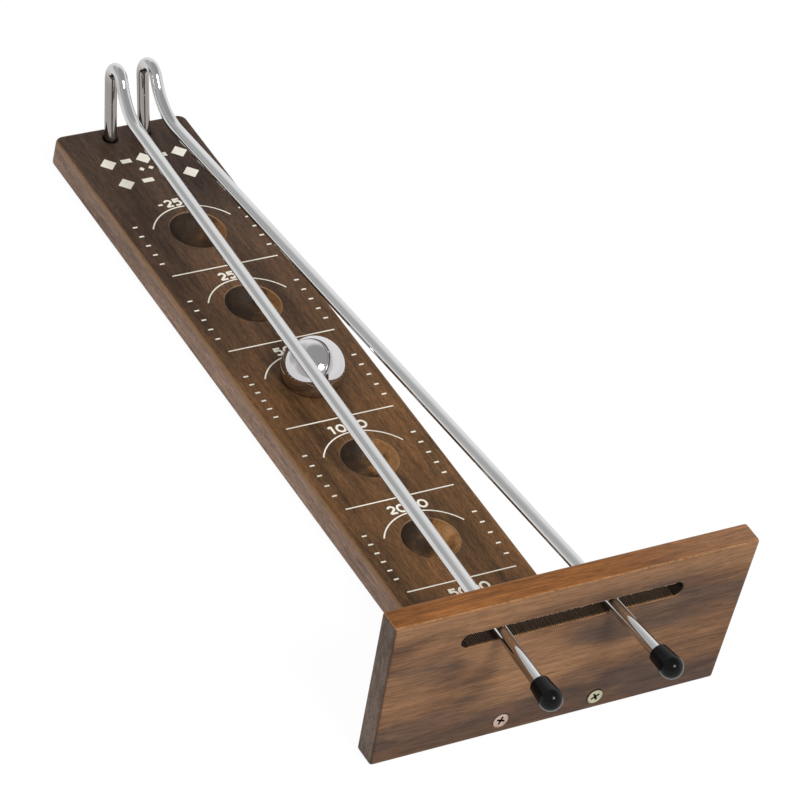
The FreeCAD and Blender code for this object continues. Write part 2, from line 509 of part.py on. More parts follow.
for side, name in ((-1, "left"), (1, "right")):
    swing = side * dim("rod_%s_swing" % name)
    place = FreeCAD.Placement(V(side * dim("pivot_half"), pivot_y, 0), FreeCAD.Rotation(V(0, 0, 1), swing))
    place_formulas = {".Placement.Base.x": "%d * dims.pivot_half" % side,
                      ".Placement.Base.y": "dims.board_length / 2 - dims.pivot_rear_gap",
                      ".Placement.Rotation.Angle": "%d * dims.rod_%s_swing" % (side, name)}

    rod = new_body(name + "_rod")
    route = new_sketch(rod, name + "_rod_route", "YZ_Plane")
    r = rod_route(name)
    base_alias = "dims.rod_%s_run_base" % name
    slope_text = slope_formula(name)
    pin_end = V(0, dim("rod_pin_end"), 0)
    pin_top = V(0, dim("rod_bend_start"), 0)
    route.addGeometry(Part.LineSegment(pin_end, pin_top), False)
    route.addGeometry(arc_between(r["foot_c"], pin_top, r["foot_end"], True), False)
    route.addGeometry(Part.LineSegment(r["foot_end"], r["hook_start"]), False)
    route.addGeometry(arc_between(r["hook_c"], r["hook_start"], r["hook_end"], False), False)
    route.addGeometry(Part.LineSegment(r["hook_end"], r["knee_start"]), False)
    route.addGeometry(arc_between(r["knee_c"], r["knee_start"], r["knee_end"], True), False)
    route.addGeometry(Part.LineSegment(r["knee_end"], r["end"]), False)
    for a, a_end, b, b_end in ((0, 2, 1, 2), (1, 1, 2, 1), (2, 2, 3, 1), (3, 2, 4, 1), (4, 2, 5, 2), (5, 1, 6, 1)):
        route.addConstraint(Sketcher.Constraint("Tangent", a, a_end, b, b_end))
    route.addConstraint(Sketcher.Constraint("PointOnObject", 0, 1, -2))
    route.addConstraint(Sketcher.Constraint("Vertical", 0))
    bind(route, Sketcher.Constraint("DistanceY", -1, 1, 0, 1, pin_end.y), "pin_end", "dims.rod_pin_end")
    bind(route, Sketcher.Constraint("DistanceY", -1, 1, 0, 2, pin_top.y), "bend_start", "dims.rod_bend_start")
    bind(route, Sketcher.Constraint("Radius", 1, dim("rod_foot_radius")), "foot", "dims.rod_foot_radius")
    bind(route, Sketcher.Constraint("Radius", 3, dim("rod_hook_radius")), "hook", "dims.rod_hook_radius")
    bind(route, Sketcher.Constraint("Radius", 5, dim("rod_knee_radius")), "knee", "dims.rod_knee_radius")
    bind(route, Sketcher.Constraint("Angle", 2, r["lean"]), "lean", "90 deg - dims.rod_leg_lean * 1 deg")
    bind(route, Sketcher.Constraint("Angle", 4, r["fall"] - 2 * math.pi), "fall",
         "-180 deg + dims.rod_fall * 1 deg")
    bind(route, Sketcher.Constraint("Angle", 6, r["run"]), "slope", "180 deg - " + slope_text)
    bind(route, Sketcher.Constraint("DistanceY", -1, 1, 3, 3, r["hook_c"].y), "hook_level",
         "dims.rod_hook_top - dims.rod_hook_radius")
    bind(route, Sketcher.Constraint("DistanceX", 6, 2, -1, 1, -r["end"].x), "reach", "dims.rod_reach")
    bind(route, Sketcher.Constraint("DistanceY", -1, 1, 6, 2, r["end"].y), "end_level",
         base_alias + " + dims.rod_reach * tan(" + slope_text + ")")
    section = new_sketch(rod, name + "_rod_section", "XY_Plane", V(0, 0, dim("rod_pin_end")))
    section.setExpression("AttachmentOffset.Base.z", "dims.rod_pin_end")
    section.addGeometry(Part.Circle(V(), V(0, 0, 1), dim("rod_diameter") / 2), False)
    section.addConstraint(Sketcher.Constraint("Coincident", 0, 3, -1, 1))
    bind(section, Sketcher.Constraint("Diameter", 0, dim("rod_diameter")), "size", "dims.rod_diameter")
    doc.recompute()
    bent = rod.newObject("PartDesign::AdditivePipe", name + "_rod_bent")
    bent.Profile = section
    bent.Spine = (route, ["Edge%d" % (i + 1) for i in range(7)])
    doc.recompute()
    dress(rod, "Chamfer", name + "_rod_ends", "Size", "dims.rod_end_chamfer",
          lambda e: isinstance(e.Curve, Part.Circle) and (e.BoundBox.ZMax < dim("rod_pin_end") + 0.1
                                                          or e.BoundBox.YMax < 1 - dim("rod_reach")))
    rod.Placement = place
    for target, formula in place_formulas.items():
        rod.setExpression(target, formula)

    cap = new_body(name + "_cap")
    run_start = dim("cap_%s_start" % name)
    slope = run_slope(name)
    level = dim("rod_%s_run_base" % name) + run_start * math.tan(slope)
    profile = new_sketch(cap, name + "_cap_profile", "YZ_Plane", V(-run_start, level, 0), -math.degrees(slope))
    outer = dim("cap_diameter") / 2
    mouth = dim("cap_mouth") / 2
    bore = dim("cap_bore") / 2
    lip = dim("cap_lip")
    long = dim("cap_length")
    inner = (dim("rod_reach") - run_start) / math.cos(slope) + 0.1
    lines = [((-inner, 0), (-inner, bore)), ((-inner, bore), (0, bore)), ((0, bore), (0, mouth - lip)),
             ((-lip, mouth), (outer - long, outer)), ((-long, 0), (-inner, 0))]
    for start, end in lines:
        profile.addGeometry(Part.LineSegment(V(*start, 0), V(*end, 0)), False)
    profile.addGeometry(arc_between(V(-lip, mouth - lip, 0), V(0, mouth - lip, 0), V(-lip, mouth, 0), False), False)
    profile.addGeometry(arc_between(V(outer - long, 0, 0), V(outer - long, outer, 0), V(-long, 0, 0), False), False)
    joints = ((0, 2, 1, 1), (1, 2, 2, 1), (2, 2, 5, 1), (3, 1, 5, 2), (3, 2, 6, 1), (4, 1, 6, 2), (4, 2, 0, 1))
    for a, a_end, b, b_end in joints:
        profile.addConstraint(Sketcher.Constraint("Coincident", a, a_end, b, b_end))
    profile.addConstraint(Sketcher.Constraint("PointOnObject", 0, 1, -1))
    profile.addConstraint(Sketcher.Constraint("Vertical", 0))
    profile.addConstraint(Sketcher.Constraint("Horizontal", 1))
    profile.addConstraint(Sketcher.Constraint("PointOnObject", 2, 1, -2))
    profile.addConstraint(Sketcher.Constraint("Vertical", 2))
    profile.addConstraint(Sketcher.Constraint("PointOnObject", 6, 3, -1))
    profile.addConstraint(Sketcher.Constraint("PointOnObject", 4, 1, -1))
    profile.addConstraint(Sketcher.Constraint("Vertical", 6, 3, 6, 1))
    profile.addConstraint(Sketcher.Constraint("Vertical", 5, 3, 3, 1))
    profile.addConstraint(Sketcher.Constraint("Horizontal", 5, 3, 2, 2))
    bind(profile, Sketcher.Constraint("DistanceX", 0, 1, -1, 1, inner), "inside",
         "(dims.rod_reach - dims.cap_%s_start) / cos(" % name + slope_text + ") + 0.1")
    bind(profile, Sketcher.Constraint("DistanceY", -1, 1, 1, 2, bore), "bore", "dims.cap_bore / 2")
    bind(profile, Sketcher.Constraint("DistanceY", -1, 1, 3, 1, mouth), "mouth", "dims.cap_mouth / 2")
    bind(profile, Sketcher.Constraint("DistanceY", -1, 1, 3, 2, outer), "outside", "dims.cap_diameter / 2")
    bind(profile, Sketcher.Constraint("DistanceX", 4, 1, -1, 1, long), "long", "dims.cap_length")
    bind(profile, Sketcher.Constraint("Radius", 5, lip), "lip", "dims.cap_lip")
    moulded = cap.newObject("PartDesign::Revolution", name + "_cap_moulded")
    moulded.Profile = profile
    moulded.ReferenceAxis = (profile, ["H_Axis"])
    moulded.Angle = 360
    doc.recompute()
    cap.Placement = place
    for target, formula in place_formulas.items():
        cap.setExpression(target, formula)

# ---------------------------------------------------------------------- ball
# The ball is a little wider than a pocket, so it rests on the pocket's rounded rim.
ball = doc.addObject("Part::Sphere", "ball_solid")
ball.Label = "ball"
ball.setExpression("Radius", "dims.ball_diameter / 2")
ball_y = rear_pocket - BALL_POCKET * dim("pocket_pitch")


def rest_height():
    """Height of the ball's centre when it touches the rim: lowered in small steps until it would cut in."""
    radius = dim("ball_diameter") / 2
    lip_r = dim("pocket_lip")
    # the lip is an arc tangent to the dish (radius cutter) and to the flat top
    lip_z = -lip_r
    reach = math.sqrt((cutter + lip_r) ** 2 - (rise - lip_z) ** 2)
    return TOP + lip_z + math.sqrt((radius + lip_r) ** 2 - reach ** 2)


ball.Placement = FreeCAD.Placement(V(0, ball_y, rest_height() + dim("ball_gap")), FreeCAD.Rotation())
doc.recompute()

# -------------------------------------------------------------------- output
PIECES = ["base_board", "front_panel", "panel_screw_left", "panel_screw_right", "left_rod", "right_rod",
          "left_cap", "right_cap", "ball"]
for item in doc.Objects:
    if "Invalid" in item.State or "Error" in item.State:
        raise RuntimeError("%s failed: %s" % (item.Label, item.State))

os.makedirs("parts", exist_ok=True)
for label in PIECES:
    piece = doc.getObjectsByLabel(label)[0]
    shape = piece.Shape
    if shape.isNull() or not shape.isValid() or len(shape.Solids) != 1:
        raise RuntimeError(label + " is not one valid solid")
    shape.exportStep("parts/%s.step" % label)
    box = shape.BoundBox
    print("%-18s volume %10.1f  x %.2f..%.2f  y %.2f..%.2f  z %.2f..%.2f" % (
        label, shape.Volume, box.XMin, box.XMax, box.YMin, box.YMax, box.ZMin, box.ZMax))
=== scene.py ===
import json
import math
import random

import bmesh
import bpy
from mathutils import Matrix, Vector


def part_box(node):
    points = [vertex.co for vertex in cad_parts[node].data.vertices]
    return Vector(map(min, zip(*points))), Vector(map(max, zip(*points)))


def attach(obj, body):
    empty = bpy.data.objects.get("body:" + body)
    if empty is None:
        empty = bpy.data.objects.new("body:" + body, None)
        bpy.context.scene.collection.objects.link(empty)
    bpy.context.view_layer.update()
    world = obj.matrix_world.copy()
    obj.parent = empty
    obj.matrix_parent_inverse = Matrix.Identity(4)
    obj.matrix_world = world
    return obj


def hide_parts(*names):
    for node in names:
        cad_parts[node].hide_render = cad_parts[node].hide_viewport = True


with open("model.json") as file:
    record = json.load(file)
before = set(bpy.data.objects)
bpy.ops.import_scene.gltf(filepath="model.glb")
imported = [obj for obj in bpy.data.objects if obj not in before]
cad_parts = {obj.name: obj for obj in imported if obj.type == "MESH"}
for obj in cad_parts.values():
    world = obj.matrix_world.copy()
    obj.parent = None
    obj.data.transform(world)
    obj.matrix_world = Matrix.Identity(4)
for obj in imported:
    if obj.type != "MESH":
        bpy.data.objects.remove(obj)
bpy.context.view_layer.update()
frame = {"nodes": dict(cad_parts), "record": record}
nodes = frame["nodes"]

MM = 0.001
BASE = "game_base"

# ------------------------------------------------------------------------------------------- places
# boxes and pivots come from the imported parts, and the other numbers repeat the part's own dimensions;
# POCKET_REACH is a little over a pocket's radius
board_low, board_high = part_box("base_board")
panel_low, panel_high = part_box("front_panel")
TOP = board_high.z
HALF_W = board_high.x
REAR = board_high.y
FRONT = panel_low.y
FIRST_POCKET = REAR - 75.0 * MM
PITCH = 50.8 * MM
POCKETS = [FIRST_POCKET - PITCH * k for k in range(6)]
SLOT_LEVEL = 56.1 * MM
SLOT_HALF_HEIGHT = 3.5 * MM
SLOT_HALF_LENGTH = 50.0 * MM
POCKET_REACH = 12.9 * MM
PIVOTS = {joint["name"].split("_")[0]: Vector(joint["pos_m"])
          for joint in frame["record"]["behaviour"]["joints"] if joint["type"] == "hinge"}


def screw_place(node):
    """Centre of a screw's face."""
    low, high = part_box(node)
    return Vector(((low.x + high.x) / 2, low.y, (low.z + high.z) / 2))


def add_object(name, data):
    """A new object in the scene that shows this data."""
    made = bpy.data.objects.new(name, data)
    bpy.context.scene.collection.objects.link(made)
    return made


def mesh_of(name, bm):
    """Turns a finished bmesh into a mesh and frees it."""
    mesh = bpy.data.meshes.new(name)
    bm.to_mesh(mesh)
    bm.free()
    return mesh


# ------------------------------------------------------------------------------- node tree helpers
class Tree:
    """Short ways to build a shader tree."""

    def __init__(self, name):
        self.material = bpy.data.materials.new(name)
        self.material.use_nodes = True
        self.tree = self.material.node_tree
        self.tree.nodes.clear()
        self.out = self.add("ShaderNodeOutputMaterial")
        self.shader = self.add("ShaderNodeBsdfPrincipled")
        self.link(self.shader.outputs[0], self.out.inputs[0])
        coords = self.add("ShaderNodeTexCoord")
        self.place = coords.outputs["Object"]
        self.normal = self.add("ShaderNodeNewGeometry").outputs["Normal"]

    def add(self, kind, **settings):
        """A new node with these settings."""
        made = self.tree.nodes.new(kind)
        for key, value in settings.items():
            setattr(made, key, value)
        return made

    def link(self, source, target):
        self.tree.links.new(source, target)

    def put(self, socket, value):
        """Feeds a socket from another socket or with a plain value."""
        if isinstance(value, bpy.types.NodeSocket):
            self.link(value, socket)
        else:
            socket.default_value = value

    def calc(self, kind, a, b=0.0, c=0.0, clamp=False):
        made = self.add("ShaderNodeMath", operation=kind, use_clamp=clamp)
        self.put(made.inputs[0], a)
        self.put(made.inputs[1], b)
        self.put(made.inputs[2], c)
        return made.outputs[0]

    def split(self, vector):
        made = self.add("ShaderNodeSeparateXYZ")
        self.link(vector, made.inputs[0])
        return made.outputs[0], made.outputs[1], made.outputs[2]

    def join(self, x, y, z):
        made = self.add("ShaderNodeCombineXYZ")
        for socket, value in zip(made.inputs, (x, y, z)):
            self.put(socket, value)
        return made.outputs[0]

    def scaled(self, x, y, z, vector=None, shift=(0.0, 0.0, 0.0)):
        """A place stretched along its axes, which sets how fine a noise is along each."""
        made = self.add("ShaderNodeMapping")
        self.link(vector or self.place, made.inputs[0])
        made.inputs["Location"].default_value = shift
        made.inputs["Scale"].default_value = (x, y, z)
        return made.outputs[0]

    def noise(self, vector, scale=1.0, detail=3.0, rough=0.5, warp=0.0):
        made = self.add("ShaderNodeTexNoise")
        self.link(vector, made.inputs["Vector"])
        made.inputs["Scale"].default_value = scale
        made.inputs["Detail"].default_value = detail
        made.inputs["Roughness"].default_value = rough
        made.inputs["Distortion"].default_value = warp
        return made.outputs[0]

    def span(self, value, low, high, out_low=0.0, out_high=1.0, smooth=True):
        """Clamped ramp from out_low at low to out_high at high, which may be the smaller."""
        made = self.add("ShaderNodeMapRange")
        made.interpolation_type = "SMOOTHSTEP" if smooth else "LINEAR"
        made.clamp = True
        self.put(made.inputs["Value"], value)
        made.inputs["From Min"].default_value = low
        made.inputs["From Max"].default_value = high
        made.inputs["To Min"].default_value = out_low
        made.inputs["To Max"].default_value = out_high
        return made.outputs[0]

    def blend(self, factor, a, b, kind="MIX"):
        made = self.add("ShaderNodeMix", data_type="RGBA", blend_type=kind)
        self.put(made.inputs[0], factor)
        self.put(made.inputs[6], a if isinstance(a, bpy.types.NodeSocket) else (*a, 1.0))
        self.put(made.inputs[7], b if isinstance(b, bpy.types.NodeSocket) else (*b, 1.0))
        return made.outputs[2]

    def ramp(self, factor, stops):
        made = self.add("ShaderNodeValToRGB")
        self.put(made.inputs[0], factor)
        bar = made.color_ramp
        while len(bar.elements) < len(stops):
            bar.elements.new(0.5)
        for element, (position, color) in zip(bar.elements, stops):
            element.position = position
            element.color = (*color, 1.0)
        return made.outputs[0]

    def bump(self, height, strength, distance, below=None):
        made = self.add("ShaderNodeBump")
        made.inputs["Strength"].default_value = strength
        made.inputs["Distance"].default_value = distance
        self.put(made.inputs["Height"], height)
        if below is not None:
            self.link(below, made.inputs["Normal"])
        return made.outputs[0]


def use(piece, material):
    """Every material slot of the piece takes this material."""
    if not piece.material_slots:
        piece.data.materials.append(material)
    for slot in piece.material_slots:
        slot.material = material


# ---------------------------------------------------------------------------------------- materials
def wood_figure(t, across, along, depth, seed):
    """Slow figure, bands, fibre, pores and clouds for wood whose fibres run along the second coordinate."""
    base = t.join(across, along, depth)
    sway = t.noise(t.scaled(28, 6, 28, base, (seed, 0, 0)), 1.0, 2.0, 0.5)
    shift = t.calc("MULTIPLY", t.calc("SUBTRACT", sway, 0.5), 0.012)
    bent = t.join(t.calc("ADD", across, shift), along, t.calc("ADD", depth, shift))
    bands = t.noise(t.scaled(170, 9, 130, bent, (0, seed, 0)), 1.0, 3.0, 0.6, 0.2)
    fibre = t.noise(t.scaled(900, 46, 900, bent, (seed, seed, 0)), 1.0, 3.0, 0.65)
    pores = t.noise(t.scaled(1500, 150, 1500, bent, (0, 0, seed)), 1.0, 2.0, 0.55)
    cloud = t.noise(t.scaled(40, 14, 40, bent, (seed, 0, seed)), 1.0, 4.0, 0.6)
    return bands, fibre, pores, cloud


def stained(t, bands, fibre, cloud, shades, mix=(0.34, 0.30, 0.36)):
    """Colour of stained wood from its figure: shades runs from darkest to palest."""
    grain = t.calc("MULTIPLY", bands, mix[0])
    grain = t.calc("ADD", grain, t.calc("MULTIPLY", fibre, mix[1]))
    grain = t.calc("ADD", grain, t.calc("MULTIPLY", cloud, mix[2]))
    places = [0.39 + 0.22 * i / (len(shades) - 1) for i in range(len(shades))]
    return t.ramp(grain, list(zip(places, shades)))


def flecked(t, color, across, along, depth, deep, long=1.0):
    """Short fine flecks along the fibres, darkening and lightening the colour."""
    base = t.join(across, along, depth)
    fine = t.noise(t.scaled(1800, 330 / long, 1800, base), 1.0, 4.0, 0.8)
    broad = t.noise(t.scaled(620, 42 / long, 620, base), 1.0, 2.0, 0.6)
    both = t.calc("ADD", t.calc("MULTIPLY", fine, 0.74), t.calc("MULTIPLY", broad, 0.26))
    light = 1.0 + deep
    dark = 1.0 - deep
    fleck = t.ramp(both, [(0.40, (dark, dark, dark)), (0.60, (light, light, light))])
    return t.blend(1.0, color, fleck, "MULTIPLY")


def distance(t, u, v, at_u, at_v):
    """Distance in a plane from the place (at_u, at_v)."""
    off_u = t.calc("SUBTRACT", u, at_u)
    off_v = t.calc("SUBTRACT", v, at_v)
    return t.calc("SQRT", t.calc("ADD", t.calc("POWER", off_u, 2.0), t.calc("POWER", off_v, 2.0)))


def shaken(t, value, noise, amount):
    """The value made uneven by a noise, up and down by about half the amount."""
    return t.calc("ADD", value, t.calc("MULTIPLY", t.calc("SUBTRACT", noise, 0.5), amount))


def soft_spot(t, u, v, at_u, at_v, half_u, half_v, ragged):
    """One at a place on a face, fading to zero at the given half sizes, with a ragged border."""
    du = t.calc("DIVIDE", t.calc("SUBTRACT", u, at_u), half_u)
    dv = t.calc("DIVIDE", t.calc("SUBTRACT", v, at_v), half_v)
    away = t.calc("SQRT", t.calc("ADD", t.calc("MULTIPLY", du, du), t.calc("MULTIPLY", dv, dv)))
    return t.span(shaken(t, away, ragged, 2.2), 1.0, 0.25)


def wood_gloss(t, color, fibre, dots, low, high):
    """Sealed open-pored wood: gloss follows the fibres, and the pores sit lower and duller."""
    t.link(color, t.shader.inputs["Base Color"])
    rough = t.calc("ADD", t.span(fibre, 0.3, 0.7, low, high, False), t.calc("MULTIPLY", dots, 0.2))
    t.link(rough, t.shader.inputs["Roughness"])
    t.shader.inputs["Specular IOR Level"].default_value = 0.12
    relief = t.calc("SUBTRACT", t.calc("MULTIPLY", fibre, 0.6), dots)
    t.link(t.bump(relief, 0.30, 0.10 * MM), t.shader.inputs["Normal"])


def board_wood():
    """Dark stained board: colder towards the back, sides painted paler as lit faces, rubbed edges with a
    painted highlight, painted light and shade in the pockets, painted shade in the pivot holes.
    """
    t = Tree("dark_board_wood")
    x, y, z = t.split(t.place)
    nx, ny, nz = t.split(t.normal)
    bands, fibre, pores, cloud = wood_figure(t, x, y, z, 3.7)
    calm = (0.27, 0.17, 0.56)
    top = stained(t, bands, fibre, cloud, TOP_SHADES, calm)
    rear_tone = t.span(y, -0.04, 0.15)
    cool = stained(t, bands, fibre, cloud, REAR_SHADES, calm)
    top = t.blend(rear_tone, top, cool)
    # painted light: the sides take a paler, lit copy of the wood, chosen by which way each face points
    side = stained(t, bands, fibre, cloud, LIT_SIDE_SHADES, (0.30, 0.40, 0.30))
    lit_sides = t.span(t.calc("MAXIMUM", t.calc("ABSOLUTE", nx), t.calc("ABSOLUTE", ny)), 0.55, 0.85)
    color = t.blend(lit_sides, top, side)
    color = flecked(t, color, x, y, z, 0.38)
    # rounded edges, rubbed to a warmer brown, with a thin pale line that is a painted highlight; near is the
    # ragged distance from an edge
    edge_x = t.calc("SUBTRACT", HALF_W, t.calc("ABSOLUTE", x))
    edge_y = t.calc("SUBTRACT", REAR, y)
    edge = t.calc("MINIMUM", edge_x, edge_y)
    scuff = t.noise(t.scaled(320, 70, 320), 1.0, 4.0, 0.6)
    near = shaken(t, edge, scuff, 1.4 * MM)
    upper = t.span(z, TOP - 3.5 * MM, TOP - 1.2 * MM)
    rubbed = t.calc("MULTIPLY", t.span(near, 2.1 * MM, 0.8 * MM), upper)
    turned = t.span(nz, 0.97, 0.80, 0.06, 1.0)
    worn = t.calc("MULTIPLY", t.calc("MULTIPLY", rubbed, turned), t.span(y, 0.165, 0.04, 0.35, 0.75))
    color = t.blend(worn, color, RUBBED)
    # painted highlight: a thin pale line along the rounded edges
    pale = t.calc("MULTIPLY", t.span(near, 0.9 * MM, 0.2 * MM), upper)
    color = t.blend(t.calc("MULTIPLY", pale, 0.30), color, (0.26, 0.16, 0.09))
    # pockets: mottled painted shade on walls facing away from the light and painted light on those facing it,
    # and a thin painted highlight on the rim; nothing limits this along the board, so the middle of its end
    # face takes the same colours
    in_x = t.calc("LESS_THAN", t.calc("ABSOLUTE", x), POCKET_REACH)
    sunk = t.span(z, TOP - 0.25 * MM, TOP - 0.8 * MM)
    bowl = t.calc("MULTIPLY", t.calc("MULTIPLY", in_x, sunk), t.calc("GREATER_THAN", z, 2 * MM))
    patch = t.noise(t.scaled(150, 150, 150), 1.0, 4.0, 0.6)
    facing_light = t.calc("ADD", t.calc("MULTIPLY", nx, -0.55), t.calc("MULTIPLY", ny, 0.22))
    facing_light = shaken(t, facing_light, patch, 1.35)
    # painted light in the bowls, weaker in the far pockets
    painted_light = t.span(y, 0.10, -0.06, 0.80, 1.0)
    painted_bowl_light = t.ramp(t.calc("MULTIPLY", t.span(facing_light, -0.6, 0.6, 0.0, 1.0, False), painted_light), POCKET_LIGHT_AND_SHADE)
    color = t.blend(t.calc("MULTIPLY", bowl, 0.92), color, painted_bowl_light)
    # painted highlight on the pocket rims, strongest where the rim faces the light
    rim_low = t.span(z, TOP - 0.7 * MM, TOP - 0.3 * MM)
    rim_high = t.span(z, TOP - 0.02 * MM, TOP - 0.10 * MM)
    lip = t.calc("MULTIPLY", in_x, t.calc("MULTIPLY", rim_low, rim_high))
    facing = t.span(t.calc("SUBTRACT", t.calc("MULTIPLY", ny, 0.5), nx), 0.0, 0.35, 0.25, 0.95)
    color = t.blend(t.calc("MULTIPLY", lip, facing), color, (0.40, 0.225, 0.105))
    # pivot holes: painted shade in and round each hole
    for pivot in PIVOTS.values():
        away = distance(t, x, y, pivot.x, pivot.y)
        color = t.blend(t.span(away, 4.2 * MM, 3.4 * MM, 0.0, 0.85), color, (0.010, 0.007, 0.006))
    dots = t.span(pores, 0.55, 0.72)
    color = t.blend(t.calc("MULTIPLY", dots, 0.28), color, (0.020, 0.012, 0.008))
    wood_gloss(t, color, fibre, dots, 0.42, 0.54)
    return t.material


def panel_wood():
    """Warm stained panel: smoky figure on its face, top painted brighter as a lit face, browner ends, worn
    edges with a painted highlight along the front of the top, painted shade in the slot.
    """
    t = Tree("warm_panel_wood")
    x, y, z = t.split(t.place)
    nx, ny, nz = t.split(t.normal)
    bands, fibre, pores, cloud = wood_figure(t, z, x, y, 9.1)
    face = stained(t, bands, fibre, cloud, FACE_SHADES, (0.30, 0.20, 0.50))
    # smoky dark figure, strongest low down and across the middle
    curl = t.noise(t.scaled(9, 20, 30, None, (2.3, 0, 0.7)), 1.0, 5.0, 0.62, 0.9)
    low = t.span(z, 34 * MM, 10 * MM, 0.0, 0.10)
    smoke = t.span(t.calc("ADD", curl, low), 0.50, 0.66)
    face = t.blend(t.calc("MULTIPLY", smoke, 0.62), face, (0.050, 0.034, 0.028))
    glow = t.noise(t.scaled(13, 30, 40, None, (7.7, 0, 3.1)), 1.0, 3.0, 0.5, 0.4)
    face = t.blend(t.span(glow, 0.54, 0.70, 0.0, 0.5), face, FACE_GLOW)
    for at_x, at_z, half_x, half_z, ragged, strength, shade in SPOTS:
        spot = soft_spot(t, x, z, at_x, at_z, half_x, half_z, curl if ragged else glow)
        face = t.blend(t.calc("MULTIPLY", spot, strength), face, shade)
    above_slot = t.span(z, 60.5 * MM, 67 * MM, 0.0, 0.62)
    face = t.blend(above_slot, face, FACE_GLOW)
    # painted light: the top takes a brighter, more orange lit copy of the wood, chosen by its normal
    upper = stained(t, bands, fibre, cloud, LIT_TOP_SHADES, (0.44, 0.36, 0.20))
    upper = t.blend(t.span(x, 0.0, 80 * MM, 0.0, 0.45), upper, (0.285, 0.170, 0.105))
    color = t.blend(t.span(nz, 0.5, 0.85), face, upper)
    speck = t.noise(t.scaled(700, 700, 120), 1.0, 3.0, 0.6)
    end = t.ramp(t.calc("ADD", t.calc("MULTIPLY", speck, 0.5), t.calc("MULTIPLY", cloud, 0.5)), END_SHADES)
    color = t.blend(t.span(t.calc("ABSOLUTE", nx), 0.6, 0.9), color, end)
    color = flecked(t, color, z, x, y, 0.28, 4.0)
    # edges: a pale line along the front of the top, which is a painted highlight broken up by chipped wear,
    # and a dark bevel down the ends
    biggest = t.calc("MAXIMUM", t.calc("MAXIMUM", t.calc("ABSOLUTE", nx), t.calc("ABSOLUTE", ny)), nz)
    corner = t.span(t.calc("SUBTRACT", 1.0, biggest), 0.06, 0.24)
    # the pale line below is a painted highlight on the rounded top edge, gated by chips
    chips = t.noise(t.scaled(420, 420, 420), 1.0, 4.0, 0.65)
    high = t.span(nz, 0.25, 0.55)
    wear = t.calc("MULTIPLY", t.calc("MULTIPLY", corner, high), t.span(chips, 0.34, 0.60))
    color = t.blend(t.calc("MULTIPLY", wear, 0.55), color, (0.42, 0.22, 0.10))
    dark = t.calc("MULTIPLY", t.calc("MULTIPLY", corner, t.span(nz, 0.3, 0.1)), 0.72)
    color = t.blend(dark, color, (0.040, 0.024, 0.016))
    # slot walls: painted shade inside the slot
    tall = t.calc("LESS_THAN", t.calc("ABSOLUTE", t.calc("SUBTRACT", z, SLOT_LEVEL)),
                  SLOT_HALF_HEIGHT + 0.6 * MM)
    wide = t.calc("LESS_THAN", t.calc("ABSOLUTE", x), SLOT_HALF_LENGTH + 0.6 * MM)
    wall = t.calc("MULTIPLY", t.calc("MULTIPLY", tall, wide), t.span(y, FRONT + 0.1 * MM, FRONT + 0.6 * MM))
    color = t.blend(t.calc("MULTIPLY", wall, 0.97), color, (0.009, 0.006, 0.004))
    dots = t.span(pores, 0.55, 0.72)
    color = t.blend(t.calc("MULTIPLY", dots, 0.32), color, (0.030, 0.017, 0.011))
    wood_gloss(t, color, fibre, dots, 0.42, 0.56)
    return t.material


def slot_wood():
    """Wood of the slot's cutter ridges: painted shade in the hollows, painted light on the crests and a
    painted golden highlight at the crests' front ends.
    """
    t = Tree("slot_wood_painted_shade")
    y, z = t.split(t.place)[1:]
    slot_mottle = t.noise(t.scaled(700, 260, 700), 1.0, 3.0, 0.6)
    crest = t.calc("SUBTRACT", SLOT_HALF_HEIGHT, t.calc("ABSOLUTE", t.calc("SUBTRACT", z, SLOT_LEVEL)))
    painted_light = t.blend(slot_mottle, (0.050, 0.028, 0.015), (0.125, 0.072, 0.038))
    # painted shade in the hollows and painted light on the crests, by height over the wall
    color = t.blend(t.span(crest, 0.08 * MM, 0.30 * MM), (0.014, 0.008, 0.005), painted_light)
    ragged = t.calc("ADD", y, t.calc("MULTIPLY", slot_mottle, 0.8 * MM))
    # painted golden highlight on the crests' front ends
    front = t.span(ragged, FRONT + 1.6 * MM, FRONT + 0.5 * MM)
    color = t.blend(t.calc("MULTIPLY", front, 0.8), color, (0.34, 0.19, 0.085))
    t.link(color, t.shader.inputs["Base Color"])
    t.link(t.span(slot_mottle, 0.3, 0.7, 0.45, 0.62, False), t.shader.inputs["Roughness"])
    t.link(t.bump(slot_mottle, 0.3, 0.06 * MM), t.shader.inputs["Normal"])
    return t.material


# the legs' painted dark reflection begins between these places, towards the back and going down
LEG_NEAR, LEG_FAR = 165.5 * MM, 172.5 * MM
LEG_HIGH, LEG_LOW = 50 * MM, 36 * MM


def polished(name, tint, rough_low, rough_high, stretch, marks, legs=False):
    """Plated or polished steel: faint drawing lines, handling marks in the gloss, and a painted dark
    reflection on the upright legs.
    """
    t = Tree(name)
    t.shader.inputs["Metallic"].default_value = 1.0
    lines = t.noise(t.scaled(*stretch), 1.0, 3.0, 0.5)
    haze = t.noise(t.scaled(60, 60, 60), 1.0, 4.0, 0.6)
    color = t.blend(t.span(haze, 0.35, 0.75, 0.0, 0.5), tint, tuple(c * 0.92 for c in tint))
    if legs:
        # painted reflection: the legs are darkened as if mirroring the dark board
        y, z = t.split(t.place)[1:]
        low = t.calc("MULTIPLY", t.span(y, LEG_NEAR, LEG_FAR), t.span(z, LEG_HIGH, LEG_LOW))
        color = t.blend(t.calc("MULTIPLY", low, 0.72), color, (0.20, 0.165, 0.140))
    t.link(color, t.shader.inputs["Base Color"])
    gloss = t.calc("MULTIPLY", lines, haze)
    t.link(t.span(gloss, 0.12, 0.42, rough_low, rough_high, False), t.shader.inputs["Roughness"])
    t.link(t.bump(lines, marks, 0.02 * MM), t.shader.inputs["Normal"])
    return t.material


